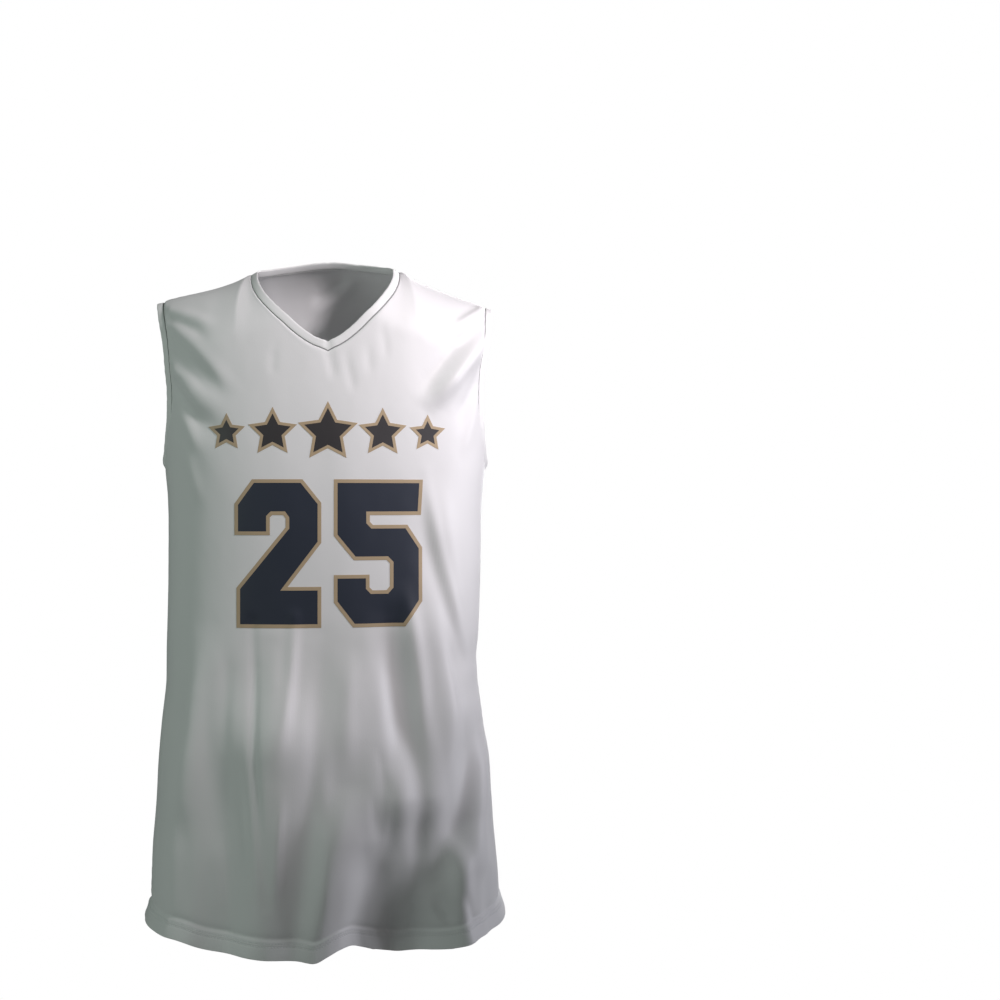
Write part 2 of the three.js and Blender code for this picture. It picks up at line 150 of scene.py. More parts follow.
FRONT_FOLDS = rows(
    FOLD_COLUMNS,
    # the largest ones, which the CAD solids have too
    (-166, -84, -136, -116, -96, -158, 13, -4, 0.8),
    (-166, -108, -146, -136, -108, -172, 13, 3, 0.8),
    (-160, -134, -138, -164, -100, -196, 13, -3, 0.8),
    (166, -60, 132, -102, 98, -152, 14, -5, 0.8),
    (166, -92, 146, -118, 120, -164, 14, 3, 0.8),
    (112, -224, 124, -306, 152, -434, 14, 7, 0, 0.3),
    (102, -236, 108, -352, 148, -460, 14, -7, 0, 0.3),
    (97, -306, 126, -420, 136, -575, 18, 8, 0, 0.2),
    (78, -380, 96, -470, 104, -640, 22, -9, 0, 0.6),
    (88, -560, 84, -640, 74, -730, 40, -18, 0, 1),
    (28, -540, 18, -620, 0, -730, 20, 9, 0, 1),
    (150, -470, 146, -556, 116, -650, 15, -8, 0, 0.4),
    (150, -590, 158, -650, 160, -730, 20, 9, 0, 1),
    (-60, -470, -58, -600, -66, -730, 24, 6, 0, 1),
    (-104, -440, -106, -600, -112, -730, 24, -7, 0, 0.8),
    (-146, -480, -150, -600, -152, -730, 22, 6, 0, 0.8),
    # pulls from the left armhole
    (-166, -52, -142, -60, -112, -74, 6, 1.8, 0.7),
    (-166, -62, -146, -71, -118, -88, 6, -1.6, 0.8),
    (-160, -72, -122, -108, -90, -150, 8, 1.6, 0.8),
    (-164, -86, -136, -117, -98, -158, 12, 1.2, 0.8),
    (-164, -108, -146, -136, -110, -170, 12, -1.4, 0.8),
    (-164, -98, -144, -120, -118, -146, 4.5, -1, 0.9),
    (-160, -118, -144, -144, -124, -170, 4.5, 1, 0.9),
    (-156, -132, -142, -160, -126, -184, 6, -1.4, 0.9),
    (-154, -150, -142, -182, -128, -210, 7, 1.4, 0.8),
    (-150, -196, -140, -226, -129, -262, 7, 1.2, 0.4),
    # pulls from the right armhole
    (168, -44, 152, -56, 130, -72, 4.5, 5.5, 0.9),
    (168, -54, 146, -74, 126, -94, 5, 4, 0.9),
    (170, -68, 139, -104, 100, -164, 11, 15, 0.6),
    (160, -112, 150, -138, 132, -176, 6, -2, 0.8),
    (158, -130, 150, -156, 138, -186, 5.5, -1.6, 0.7),
    (156, -150, 152, -178, 142, -212, 5.5, 1.5, 0.7),
    # short pulls under the neckline
    (0, -96, 3, -110, 8, -132, 4, -1.2, 1),
    (19, -104, 22, -124, 28, -146, 4, -0.8, 0.5),
    (40, -94, 42, -108, 44, -126, 5, -0.6, 0.3),
    (56, -72, 58, -90, 61, -112, 4.5, -0.4, 0.6),
    (-54, -96, -56, -110, -57, -128, 5, -0.6, 0.4),
    # the long ridge right of the number
    (100, -236, 106, -352, 146, -460, 12, 3.5, 0, 0.2),
    (114, -226, 124, -306, 152, -434, 12, -2, 0, 0.2),
    (101, -222, 110, -310, 154, -440, 6, 3.4, 0.1, 0.1),
    (80, -330, 86, -400, 106, -560, 9, 6, 0, 0.2),
    (60, -372, 67, -450, 82, -550, 13, -6, 0.3),
    (90, -376, 103, -470, 116, -570, 11, 5, 0.2),
    (118, -380, 137, -446, 151, -520, 5, -2, 0, 0.2),
    # long soft lines below the number
    (-120, -376, -136, -480, -147, -600, 16, 6),
    (-100, -400, -102, -450, -104, -520, 7, -1.4),
    (-76, -376, -74, -500, -60, -664, 5, -3.4, 0.3, 0.3),
    (-54, -394, -52, -460, -52, -540, 13, 5, 0.2),
    (-34, -372, -36, -440, -46, -520, 6.5, 3.8, 0.4),
    (-43, -536, -50, -610, -52, -676, 5, 3),
    (-6, -392, -9, -520, -36, -700, 11, -3.2, 0.2, 0.5),
    (-130, -500, -60, -504, 10, -500, 42, 6, 0.3, 0.3),
    (-50, -420, -42, -540, -40, -680, 52, 12, 0, 0.3),
    (22, -400, 20, -470, 16, -540, 13, 3.5),
    # short wavy ones above the bay
    (50, -500, 56, -530, 58, -560, 4, -0.8),
    (44, -548, 46, -575, 48, -600, 4, -1),
    (61, -540, 60, -580, 57, -616, 4, 0.8),
    (68, -520, 76, -580, 84, -640, 10, 2),
    # the ridge left of the bay
    (14, -540, 3, -620, -16, -720, 13, 7, 0, 0.6),
    # the bay, which faces down towards the hem, and the flare beside it
    (46, -600, 42, -650, 34, -730, 18, -9, 0, 1),
    (36, -712, 84, -708, 128, -702, 48, -25, 0.6, 0.2),
    (92, -586, 100, -650, 108, -730, 32, 8, 0, 1),
    (158, -484, 156, -560, 130, -634, 11, -6, 0.1, 0.3),
    (172, -490, 170, -570, 152, -640, 10, 4, 0, 0.3),
    (50, -570, 94, -572, 132, -564, 46, 9, 0.5, 0.2),
    (132, -600, 136, -660, 139, -730, 11, 12, 0, 1),
    (164, -640, 166, -680, 168, -730, 9, -5, 0, 1),
    # creases just above the hem
    (112, -664, 120, -680, 128, -698, 4, -2.4, 0, 0.3),
    (134, -660, 142, -680, 148, -700, 4, -2.6, 0, 0.3),
    (-88, -534, -80, -600, -78, -656, 8, -1.6, 0, 0.2),
    (-116, -584, -110, -640, -114, -700, 9, 2, 0, 0.2),
    (-146, -560, -142, -620, -144, -690, 9, -2.2, 0, 0.2),
)
BACK_FOLDS = rows(
    FOLD_COLUMNS,
    # the largest ones, which the CAD solids have too
    (164, -64, 138, -100, 90, -150, 22, -7, 0.7),
    (160, -124, 134, -166, 80, -212, 22, -5, 0.7),
    (-164, -62, -132, -100, -84, -146, 22, -7, 0.7),
    (-160, -118, -136, -162, -90, -210, 22, -5, 0.7),
    (19, -500, 20, -590, 16, -730, 20, 7, 0, 0.6),
    (-84, -500, -100, -590, -116, -730, 20, 9, 0, 0.9),
    (-116, -560, -134, -630, -146, -730, 22, -9, 0, 1),
    (88, -430, 94, -580, 100, -730, 26, -7, 0, 1),
    (140, -440, 146, -580, 150, -730, 22, 6, 0, 0.9),
    (-34, -460, -38, -600, -44, -730, 26, -6, 0, 0.9),
    # pulls from the armhole at +X
    (168, -60, 152, -68, 134, -78, 6, 2.2, 0.8),
    (166, -72, 150, -92, 130, -108, 6, -2.4, 0.8),
    (166, -88, 152, -108, 134, -128, 6.5, 2.4, 0.8),
    (164, -106, 152, -126, 140, -140, 6, -2, 0.8),
    (160, -140, 150, -186, 136, -236, 7, 2.2, 0.5),
    (156, -170, 146, -214, 140, -250, 6, -1.6, 0.2),
    # puckers by the shoulder seam
    (122, -16, 112, -28, 100, -38, 6, -2, 0.4),
    (106, -10, 98, -22, 90, -30, 5, 1.6, 0.4),
    (84, -2, 74, -18, 62, -28, 7, -1.8, 0.4),
    (42, 4, 12, -14, -28, -44, 8, -3.2),
    (28, 4, 4, -10, -22, -26, 7, 2.2),
    (-80, -8, -90, -16, -104, -22, 5, -1.4),
    # pulls from the armhole at -X
    (-168, -56, -156, -70, -136, -84, 6, -2.2, 0.8),
    (-168, -76, -154, -92, -138, -104, 6, 2.4, 0.8),
    (-166, -98, -152, -112, -132, -124, 6, -2.2, 0.8),
    (-164, -116, -150, -138, -140, -158, 6.5, 2.2, 0.8),
    (-158, -140, -142, -190, -132, -262, 8, 2.6, 0.4),
    (-150, -160, -136, -212, -128, -258, 7, -2),
    # below the number
    (99, -380, 86, -450, 70, -520, 7, 1.8, 0.2),
    (78, -390, 64, -440, 58, -486, 8, -1.5),
    (14, -380, 11, -480, 20, -620, 9, 2.2, 0.2, 0.2),
    (-32, -376, -38, -450, -48, -516, 8, -3, 0.5),
    (-50, -384, -56, -440, -62, -500, 10, -2.4, 0.2),
    (-68, -396, -92, -500, -132, -680, 9, 5, 0, 0.4),
    (-108, -376, -122, -450, -141, -570, 9, -4.4),
    (-6, -452, -14, -500, -24, -544, 6, 1.5),
    (110, -500, 84, -560, 66, -610, 9, 1.6),
    (-146, -420, -152, -490, -158, -560, 8, 2.2),
    (130, -330, 134, -420, 140, -520, 12, 2),
    # folds that run into the hem
    (24, -648, 20, -676, 18, -712, 8, -2.2, 0, 0.5),
    (-18, -640, -22, -672, -22, -712, 8, 2, 0, 0.5),
    (-44, -650, -56, -672, -72, -700, 7, -2, 0, 0.2),
    (-68, -640, -80, -664, -86, -704, 7, 2.6, 0, 0.4),
    (-92, -640, -98, -664, -104, -700, 7, -2.6, 0, 0.2),
    (66, -600, 56, -650, 52, -712, 10, 2, 0, 0.4),
    (124, -600, 120, -650, 118, -712, 10, 2, 0, 0.4),
)


# The two panels, in front and behind: the sign of their outward y, and where they differ
FRONT = SimpleNamespace(
    sign=-1, depth="front", neckline=FRONT_NECKLINE, hem_lift=FRONT_HEM_LIFT, folds=FRONT_FOLDS, seed=3
)
BACK = SimpleNamespace(
    sign=1, depth="back", neckline=BACK_NECKLINE, hem_lift=BACK_HEM_LIFT, folds=BACK_FOLDS, seed=8
)

# -------- smooth body, as in the CAD source


def ease(low, low_slope, high, high_slope, t):
    """Smooth curve between two values with a slope at each."""
    fall = 1 - t
    return (
        low * fall * fall * (1 + 2 * t)
        + high * t * t * (1 + 2 * fall)
        + low_slope * t * fall * fall
        - high_slope * t * t * fall
    )


def smooth(x, low, high):
    t = np.clip((x - low) / (high - low), 0, 1)
    return t * t * (3 - 2 * t)


def lerp(a, b, t):
    return a + (b - a) * t


def read(table, key, value, at):
    """Reads a column of a table at some places, as a smooth curve through its rows."""
    keys, values = table[key], table[value]
    last = len(keys) - 1
    i = np.clip(np.searchsorted(keys, at, side="left") - 1, 0, last - 1)
    order = np.arange(last + 1)
    low, high = np.maximum(order - 1, 0), np.minimum(order + 1, last)
    slope = (values[high] - values[low]) / (keys[high] - keys[low])
    span = keys[i + 1] - keys[i]
    t = np.clip((at - keys[i]) / span, 0, 1)
    return ease(values[i], slope[i] * span, values[i + 1], slope[i + 1] * span, t)


def by_side(u, sides):
    """The value of the side, left or right, that each column is on."""
    return np.where(u < 0, sides["left"], sides["right"])


TIP_WIDTH = {side: read(BODY, "z", side, TIP_Z) for side in NECK_RISE}


def column_top(panel, u):
    """Share of the width, ridge height and rise where each column meets the top of the cloth."""
    part = np.abs(u)
    tip = by_side(u, TIP_WIDTH)
    neck = by_side(u, NECK_HALF_WIDTH)
    neck_rise = by_side(u, NECK_RISE)
    inner = np.clip(part / NECK_SHARE, 0, 1)
    turn = inner * (NECK_CROWDING - (NECK_CROWDING - 1) * inner)
    out = np.sin(turn * math.pi / 2)
    lean = np.sign(u) * (NECK_RISE["right"] - NECK_RISE["left"]) / 2
    along = np.clip((part - NECK_SHARE) / (1 - NECK_SHARE), 0, None)
    shoulder = tip - neck
    in_neck = part < NECK_SHARE
    across = np.where(in_neck, neck * out / tip, lerp(neck / tip, 1, along))
    ridge = np.where(
        in_neck,
        ease(NAPE_RISE, lean, neck_rise, -NECK_SLOPE * neck, out),
        ease(neck_rise, -NECK_SLOPE * shoulder, TIP_Z, -TIP_SLOPE * shoulder, along),
    )
    shoulder_rise = ARC_RADIUS * (math.pi / 2 + panel.sign * SEAM_ANGLE)
    rise = np.where(in_neck, read(panel.neckline, "turn", "rise", turn), shoulder_rise)
    return across, ridge, rise


def hem_height(panel, u):
    return HEM_Z + read(panel.hem_lift, "place", "lift", np.clip(u, -1, 1))


def column_length(panel, u):
    _, ridge, rise = column_top(panel, u)
    return ridge - SHOULDER_ROUND - hem_height(panel, u) + rise


def armhole_share(reach, z):
    """How far the armhole edge stands off the side seam, as a share of the body's depth."""
    t = np.clip((z - ARMPIT_Z) / (TIP_Z - ARMPIT_Z) / ARMHOLE_ROUND, 0, 1)
    return reach * np.sqrt(t * (2 - t))


def width_left(share):
    """Half width of a section of width and depth 1, at a share of its depth."""
    return (1 - share**SECTION_POWER) ** (1 / SECTION_POWER)


def body_points(panel, u, way):
    """Points of the smooth body, a given way up each column."""
    across, ridge, rise = column_top(panel, u)
    hem = hem_height(panel, u)
    upright = ridge - SHOULDER_ROUND - hem
    turn = math.pi / 2 - np.maximum(way - upright, 0) / ARC_RADIUS
    z = np.where(way > upright, ridge - SHOULDER_ROUND * (1 - np.cos(turn)), hem + way)
    half = by_side(u, {side: read(BODY, "z", side, z) for side in TIP_WIDTH})
    in_front = (turn < 0) | (panel.depth == "front")
    deep = np.where(in_front, read(BODY, "z", "front", z), read(BODY, "z", "back", z))
    depth = deep * np.sin(turn)
    reach = np.where(in_front, ARMHOLE_REACH["front"], ARMHOLE_REACH["back"])
    share = armhole_share(reach, z)
    edge_width = width_left(share)
    edge_angle = np.arctan2(edge_width, share)
    soft_width = sum(width_left(armhole_share(reach, z + step)) for step in ARMHOLE_SOFTENING)
    soft_width = soft_width / len(ARMHOLE_SOFTENING)
    top_share = np.clip(across * edge_width, 0, 1)
    top_deep = np.maximum(1 - top_share**SECTION_POWER, 0) ** (1 / SECTION_POWER)
    near_top = np.clip(way / (upright + rise), 0, 1) ** TOP_CROWDING
    crowding = EDGE_CROWDING * (1 - smooth(z, ARMPIT_Z, ARMPIT_Z + EDGE_SPREAD))
    near_edge = np.abs(u) ** crowding
    turned = np.abs(u) * (math.pi / 2 - (math.pi / 2 - edge_angle) * near_edge)
    angle = lerp(turned, np.arctan2(top_share, top_deep), near_top)
    sine, cosine = np.sin(angle), np.cos(angle)
    radius = (sine**SECTION_POWER + np.abs(cosine) ** SECTION_POWER) ** (-1 / SECTION_POWER)
    x = np.sign(u) * half / soft_width * sine * radius
    return np.stack([x, panel.sign * depth * cosine * radius, z], axis=-1)


# -------- folds, creases and sewing


def fold_heights(table, x, z):
    """Sum of a table's folds at places in front view."""
    total = np.zeros_like(x)
    part = np.linspace(0, 1, FOLD_STEPS + 1)
    fall = 1 - part
    for x1, z1, x2, z2, x3, z3, half, high, start, end in zip(*table.values()):
        cx = fall * fall * x1 + 2 * fall * part * x2 + part * part * x3
        cz = fall * fall * z1 + 2 * fall * part * z2 + part * part * z3
        reach = FOLD_REACH * half
        near = (x > cx.min() - reach) & (x < cx.max() + reach)
        near &= (z > cz.min() - reach) & (z < cz.max() + reach)
        if not near.any():
            continue
        px, pz = x[near], z[near]
        ax, az, bx, bz = cx[:-1], cz[:-1], cx[1:], cz[1:]
        lx, lz = bx - ax, bz - az
        along = ((px[:, None] - ax) * lx + (pz[:, None] - az) * lz) / (lx * lx + lz * lz)
        along = np.clip(along, 0, 1)
        away = np.hypot(px[:, None] - ax - along * lx, pz[:, None] - az - along * lz)
        best = np.argmin(away, axis=1)
        spot = np.arange(len(px))
        place = (best + along[spot, best]) / FOLD_STEPS
        middle = smooth(np.minimum(place, 1 - place), 0, FOLD_EASE)
        swell = lerp(lerp(start, end, smooth(place, 0, 1)), 1, middle)
        total[near] += high * swell * np.exp(-((away[spot, best] / half) ** 2))
    return total


LATTICE = 64


def soft_noise(x, z, wide, tall, seed):
    """Smooth random heights between -1 and 1, on cells wide by tall millimetres."""
    lattice = np.random.default_rng(seed).uniform(-1, 1, (LATTICE, LATTICE))
    gx, gz = x / wide + LATTICE / 2 - 0.5, z / tall + LATTICE / 2 - 0.5
    ix, iz = np.floor(gx).astype(int), np.floor(gz).astype(int)
    fx, fz = smooth(gx - ix, 0, 1), smooth(gz - iz, 0, 1)

    def corner(right, up):
        return lattice[(ix + right) % LATTICE, (iz + up) % LATTICE]

    low = lerp(corner(0, 0), corner(1, 0), fx)
    high = lerp(corner(0, 1), corner(1, 1), fx)
    return lerp(low, high, fz)


def uneven_heights(table, x, z, seed):
    """Sum of soft random heights, one layer for each row of a table."""
    layers = enumerate(zip(*table.values()))
    return sum(high * soft_noise(x, z, wide, tall, seed + i) for i, (wide, tall, high) in layers)


# Soft unevenness of hanging knit: cell width, cell height, height
UNEVEN = rows("wide tall high", (85, 190, 1.1), (34, 90, 0.45), (15, 34, 0.16), (8, 12, 0.06))

# Upright streaks that grow below the number
STREAKS = rows("wide tall high", (13, 170, 0.8), (27, 240, 1.6))
STREAKS_GROW = (330, 520)
STREAK_SEEDS = 20

# Grooves of the seams. A side seam's is deeper along the armhole
SEAM_HALF = 1.5
SIDE_GROOVE = 0.75
ARMHOLE_GROOVE = 1.7
ARMHOLE_GROOVE_GROWS = 20
TOP_GROOVE = 0.65

# Puckers beside the seams. A wave is its length divided by a full turn, its sway, and the cells and
# seed of the noise that sways it
PUCKER_PLACE = (3, 4)
SIDE_PUCKER = 0.2
SIDE_WAVE = (1.9, 2.2, 25, 400, 31)
TOP_PUCKER = 0.13
TOP_WAVE = (2.1, 2.5, 22, 22, 32)

# The turned hem: a step in the cloth above it, a flare towards its edge, a pressed line, stitched rows
HEM_DEPTH = 19
HEM_STEP = 1.7
HEM_STEP_FADE = (HEM_DEPTH - 2.4, HEM_DEPTH + 1.4)
HEM_FLARE = 4.6
HEM_FLARE_FADE = (-4, HEM_DEPTH)
HEM_LINE = 0.9
HEM_LINE_PLACE = (HEM_DEPTH + 1.5, 3.2)
STITCH_ROWS = (12.6, 15.8)
STITCH_ROW_DEEP = 0.38
STITCH_ROW_HALF = 0.9

# Ripples of the hem that come and go by its edge, and finer ones along its stitches
RIPPLE = 0.32
RIPPLE_PLACE = (8, 7)
RIPPLE_WAVE = (2.4, 3.5, 36, 400, 33)
RIPPLE_COMES = (60, 400, 34)
RIPPLE_SHIFT = 40
FINE_RIPPLE = 0.16
FINE_PLACE = (15, 4)
FINE_WAVE = (1.45, 3, 20, 300, 35)


def bump_at(where, middle, half):
    return np.exp(-(((where - middle) / half) ** 2))


def wavy(place, x, z, wave):
    """A wave along a place, swayed by soft noise."""
    length, sway, *cells = wave
    return np.sin(place / length + sway * soft_noise(x, z, *cells))


def seam_heights(panel, u, way, x, z):
    """Grooves and puckers along the side seams, armholes, shoulders and neck."""
    to_side = (1 - np.abs(u)) * SIDE_LENGTH
    to_top = column_length(panel, u) - way
    grown = smooth(z, ARMPIT_Z, ARMPIT_Z + ARMHOLE_GROOVE_GROWS)
    high = -lerp(SIDE_GROOVE, ARMHOLE_GROOVE, grown) * bump_at(to_side, 0, SEAM_HALF)
    high -= TOP_GROOVE * bump_at(to_top, 0, SEAM_HALF)
    high += SIDE_PUCKER * wavy(z, z, x, SIDE_WAVE) * bump_at(to_side, *PUCKER_PLACE)
    high += TOP_PUCKER * wavy(x + z, x, z, TOP_WAVE) * bump_at(to_top, *PUCKER_PLACE)
    return high


def hem_heights(panel, way, x, z):
    """The turned hem with its stitched rows and ripples."""
    high = HEM_STEP * (1 - smooth(way, *HEM_STEP_FADE))
    high += HEM_FLARE * (1 - smooth(way, *HEM_FLARE_FADE))
    high -= HEM_LINE * bump_at(way, *HEM_LINE_PLACE)
    for row in STITCH_ROWS:
        high -= STITCH_ROW_DEEP * bump_at(way, row, STITCH_ROW_HALF)
    ripple = wavy(x + panel.sign * RIPPLE_SHIFT, x, z, RIPPLE_WAVE)
    high += RIPPLE * ripple * bump_at(way, *RIPPLE_PLACE) * soft_noise(x, z, *RIPPLE_COMES)
    high += FINE_RIPPLE * wavy(x, x, z, FINE_WAVE) * bump_at(way, *FINE_PLACE)
    return high


def fold_share(panel, u, way, z):
    """How much of the folds is left near the seams."""
    to_side = (1 - np.abs(u)) * SIDE_LENGTH
    shoulder = smooth(column_length(panel, u) - way, 0, SEAM_CALM)
    shoulder = lerp(1, shoulder, smooth(np.abs(u), NECK_SHARE - NECK_CALM, NECK_SHARE))
    above = smooth(z, ARMPIT_Z, ARMPIT_Z + 2 * SEAM_CALM)
    calm = smooth(to_side / lerp(SEAM_CALM, ARMHOLE_CALM, above), 0, 1)
    return shoulder * lerp(ARMHOLE_FOLD_SHARE * above, 1, calm)


NORMAL_STEP = 0.2
OUTWARD_UP = 20
TINY = 1e-9


def unit(v):
    return v / np.maximum(np.linalg.norm(v, axis=-1, keepdims=True), TINY)


def body_normals(panel, u, way):
    """Unit normals out of the smooth body. Outward is away from its axis and a little upwards."""
    here = body_points(panel, u, way)
    du = np.where(u > 0, -NORMAL_STEP, NORMAL_STEP) / SIDE_LENGTH
    beside = body_points(panel, u + du, way) - here
    above = body_points(panel, u, way + NORMAL_STEP) - here
    out = unit(np.cross(beside, above))
    guide = here.copy()
    guide[..., 2] = OUTWARD_UP
    flip = np.sum(out * guide, axis=-1, keepdims=True) < 0
    return np.where(flip, -out, out)


def cloth_points(panel, u, way):
    """Points of the folded and sewn cloth, and the smooth body's normals there."""
    u, way = np.broadcast_arrays(np.asarray(u, float), np.asarray(way, float))
    base = body_points(panel, u, way)
    out = body_normals(panel, u, way)
    x, z = base[..., 0], base[..., 2]
    high = fold_heights(panel.folds, x, z) + uneven_heights(UNEVEN, x, z, panel.seed)
    streaks = uneven_heights(STREAKS, x, z, panel.seed + STREAK_SEEDS)
    high = high + streaks * smooth(-z, *STREAKS_GROW)
    high = high * fold_share(panel, u, way, z)
    high = high + seam_heights(panel, u, way, x, z) + hem_heights(panel, way, x, z)
    return base + out * high[..., None], out


# -------- cloth meshes

SEAM_GAP = 0.3
CLOTH_WALL = 0.9
HEM_EXTRA_WALL = 0.7
HEM_WALL_FADE = (HEM_DEPTH - 0.6, HEM_DEPTH + 1.2)
NECK_CELLS = 44
SHOULDER_CELLS = 38
BODY_CELLS = 142
ARMHOLE_CELLS = 72
ARMHOLE_ROW_CROWDING = 1.12
EDGE_STEPS = (6.5, 4.4, 2.8, 1.6, 0.7, 0)
TOP_STEPS = (6.2, 4.4, 2.9, 1.7, 0.8, 0)
SPARE_AT_TOP = 2.5
HEM_STEPS = (0, 0.5, 1.6, 4, 7, 10, 11.6, 12.6, 13.6, 14.8, 15.8, 16.8, 18, 19.2, 20.4, 22, 24)


def column_places():
    """Shares of the half round, one for each column, finer at the side seams."""
    inner = np.linspace(0, NECK_SHARE, NECK_CELLS + 1)
    edge = 1 - np.array(EDGE_STEPS) / SIDE_LENGTH
    outer = np.linspace(NECK_SHARE, edge[0], SHOULDER_CELLS + 1)[1:-1]
    part = np.concatenate([inner, outer, edge])
    return np.concatenate([-part[:0:-1], part])


def row_ways(panel, u):
    """Ways up the columns, one line for each row, and the number of the armpit's row."""
    low = HEM_STEPS[-1]
    side = np.where(u < 0, -1.0, 1.0)
    spare = SEAM_GAP / 2 + TOP_STEPS[0] + SPARE_AT_TOP
    top = column_length(panel, u) - SEAM_GAP / 2
    armpit_way = ARMPIT_Z - hem_height(panel, side)
    armpit = (armpit_way - low) / (column_length(panel, side) - spare - low)
    upper = (np.arange(1, ARMHOLE_CELLS + 1) / ARMHOLE_CELLS) ** ARMHOLE_ROW_CROWDING
    parts = [armpit * cell / BODY_CELLS for cell in range(1, BODY_CELLS + 1)]
    parts += [lerp(armpit, 1, part) for part in upper]
    ways = [np.full_like(u, way) for way in HEM_STEPS]
    ways += [lerp(low, column_length(panel, u) - spare, part) for part in parts]
    ways += [top - step for step in TOP_STEPS]
    return np.array(ways), len(HEM_STEPS) - 1 + BODY_CELLS


def grid_normals(points, sign):
    """Normals of a grid of points, from its own rows and columns."""
    out = unit(np.cross(np.gradient(points, axis=1), np.gradient(points, axis=0)))
    return out if sign < 0 else -out


def panel_grid(panel):
    """A panel's outer points and normals. Its sides stand just off the plane between the panels."""
    u = column_places()
    ways, armpit_row = row_ways(panel, u)
    places = np.broadcast_to(u, ways.shape)
    points, base_out = cloth_points(panel, places, ways)
    out = grid_normals(points, panel.sign)
    out[np.sum(out * base_out, axis=-1) < 0] *= -1
    for column in (0, -1):
        side = slice(0, armpit_row + 1)
        points[side, column, 1] = panel.sign * SEAM_GAP / 2
        out[:, column] = base_out[:, column]
        out[side, column, 1] = 0
    out[-1] = base_out[-1]
    index = np.arange(ways.size).reshape(ways.shape)
    return SimpleNamespace(
        u=u, way=ways, points=points, out=unit(out), base_out=base_out, index=index, armpit=armpit_row
    )


def add_mesh(name, vertices, faces, uv=None):
    """A mesh object from millimetre points, smooth, with an optional uv for each vertex."""
    mesh = bpy.data.meshes.new(name)
    mesh.from_pydata((np.asarray(vertices) * MM).tolist(), [], [list(map(int, f)) for f in faces])
    if uv is not None:
        layer = mesh.uv_layers.new(name="cloth")
        loops = np.empty(len(mesh.loops), dtype=np.int32)
        mesh.loops.foreach_get("vertex_index", loops)
        layer.data.foreach_set("uv", (np.asarray(uv) * MM)[loops].ravel())
    mesh.shade_smooth()
    mesh.update()
    obj = bpy.data.objects.new(name, mesh)
    scene.collection.objects.link(obj)
    return obj


def quads(*corners):
    """Faces from the numbers of their four corners."""
    return np.stack(corners, axis=-1).reshape(-1, 4)


def grid_faces(index):
    return quads(index[:-1, :-1], index[:-1, 1:], index[1:, 1:], index[1:, :-1])


def panel_piece(name, panel, grid):
    """A closed shell on a panel's points, thicker where the hem is turned up."""
    points, out, ways = grid.points, grid.out, grid.way
    wall = CLOTH_WALL + HEM_EXTRA_WALL * (1 - smooth(ways, *HEM_WALL_FADE))
    inner = points - out * wall[..., None]
    vertices = np.concatenate([points.reshape(-1, 3), inner.reshape(-1, 3)])
    index = grid.index
    outer_faces, inner_faces = grid_faces(index), grid_faces(index + ways.size)
    ring = np.concatenate([index[0], index[1:, -1], index[-1, -2::-1], index[-2:0:-1, 0]])
    after = np.roll(ring, -1)
    rim = quads(ring, ring + ways.size, after + ways.size, after)
    faces = np.concatenate([outer_faces, inner_faces[:, ::-1], rim])
    if panel.sign > 0:
        faces = faces[:, ::-1]
    across = np.broadcast_to(grid.u * SIDE_LENGTH, ways.shape)
    uv = np.stack([across, ways], axis=-1).reshape(-1, 2)
    return add_mesh(name, vertices, faces, np.concatenate([uv, uv]))


front_grid = panel_grid(FRONT)
back_grid = panel_grid(BACK)
front_cloth = panel_piece("front_cloth", FRONT, front_grid)
back_cloth = panel_piece("back_cloth", BACK, back_grid)

# -------- bindings

NECK_BINDING_WIDTH = 9
ARM_BINDING_WIDTH = 8
BINDING_WALL = 2
BINDING_GAP = 0.25
SECTION_UV_STEP = 0.05

# Section of a folded strip: share of its width, share of its half thickness
BINDING_SECTION = (
    (0, 0.25), (0.03, 0.55), (0.1, 0.82), (0.22, 0.98), (0.4, 1), (0.6, 0.98), (0.78, 0.95),
    (0.9, 0.84), (0.97, 0.52), (1, 0), (0.97, -0.52), (0.9, -0.84), (0.78, -0.95), (0.5, -1),
    (0.22, -0.98), (0.06, -0.7), (0, -0.25),
)

# Unevenness along a binding: ripples of the sewing and a slow waver
BINDING_RIPPLE = 0.12
BINDING_WAVE = (1.7, 2, 17, 50)
BINDING_WAVER = 0.22
WAVER_CELLS = (14, 50)
NECK_SEED = 41
ARMHOLE_SEED = 51

# The neck binding meets in a mitre at the point of the V, and stands up more towards the shoulders
MITRE_REACH = 12
MITRE_STRETCH = 0.12
MITRE_DIP = 0.35
MITRE_DIP_HALF = 1.2
NECK_LEAN = 0.5
NECK_LEAN_GROWS = (-70, -10)
NECK_AIM = (0, -30, 20)
UP = (0, 0, 1)

# The armhole bindings turn outwards
ARMHOLE_SPREAD = 0.45
ARMHOLE_AIM = 230


def edge_of(runs):
    """Points and normals of the cloth's edge, from runs of (grid, rows, columns)."""
    points = [grid.points[r, c] for grid, r, c in runs]
    outs = [grid.base_out[r, c] for grid, r, c in runs]
    return np.concatenate(points), np.concatenate(outs)


def neck_edge():
    centre = len(front_grid.u) // 2
    front = np.arange(centre - NECK_CELLS, centre + NECK_CELLS + 1)
    return edge_of([(front_grid, -1, front), (back_grid, -1, front[::-1])])


def armhole_edge(column):
    up = np.arange(front_grid.armpit, len(front_grid.points))
    return edge_of([(front_grid, up, column), (back_grid, up[::-1], column)])


def steps_of(points):
    """Distances from each point of a closed run to the next one."""
    return np.linalg.norm(np.roll(points, -1, axis=0) - points, axis=1)


def strip_ways(points, outs, towards):
    """Directions in the cloth that lead off its edge, towards a place."""
    tangents = unit(np.roll(points, -1, axis=0) - np.roll(points, 1, axis=0))
    flat = unit(np.cross(tangents, outs))
    flat[np.sum(flat * (towards - points), axis=1) < 0] *= -1
    return flat


